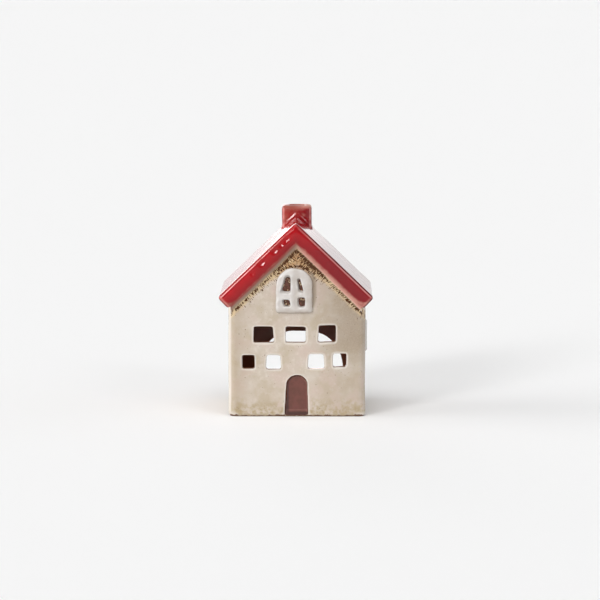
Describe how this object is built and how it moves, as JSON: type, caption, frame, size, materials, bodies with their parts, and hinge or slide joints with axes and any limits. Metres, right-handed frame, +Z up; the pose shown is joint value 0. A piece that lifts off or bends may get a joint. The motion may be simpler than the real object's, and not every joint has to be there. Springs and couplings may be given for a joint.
{
  "type": "tealight house",
  "caption": "Small slab-built ceramic house for a tealight: pitched red roof with chimney, pierced front windows and an open arched back.",
  "frame": {"origin": "on the table, under the middle of the house's outer box", "axes": "+Z up; the front with the door looks along -Y, the candle goes in and out along +Y"},
  "size_m": [0.0874, 0.08, 0.115],
  "materials": {
    "cream_glaze": "glossy cream glaze breaking brown at the edges",
    "red_glaze": "thick glossy red glaze",
    "white_glaze": "glossy white glaze",
    "brown_engobe": "matt brown slip",
    "dark_glaze": "dark brown glaze",
    "cup_aluminium": "pressed bright foil",
    "candle_wax": "white paraffin wax",
    "cotton_wick": "braided cotton"
  },
  "bodies": {
    "house": {"base_slab": "dark_glaze", "front_gable_wall": "cream_glaze", "back_gable_wall": "cream_glaze", "left_side_wall": "cream_glaze", "right_side_wall": "cream_glaze", "left_roof_slab": "red_glaze", "right_roof_slab": "red_glaze", "chimney": "red_glaze", "attic_window_frame": "white_glaze", "left_window_frame": "white_glaze", "right_window_frame": "white_glaze", "front_door_panel": "brown_engobe"},
    "tealight": {"tealight_cup": "cup_aluminium", "tealight_wax": "candle_wax", "tealight_wick": "cotton_wick", "wick_sustainer": "cup_aluminium"}
  },
  "joints": [
    {"name": "tealight_removal", "type": "slide", "parent": "house", "child": "tealight", "axis": [0, 1, 0], "range_m": [0, 0.065]}
  ]
}
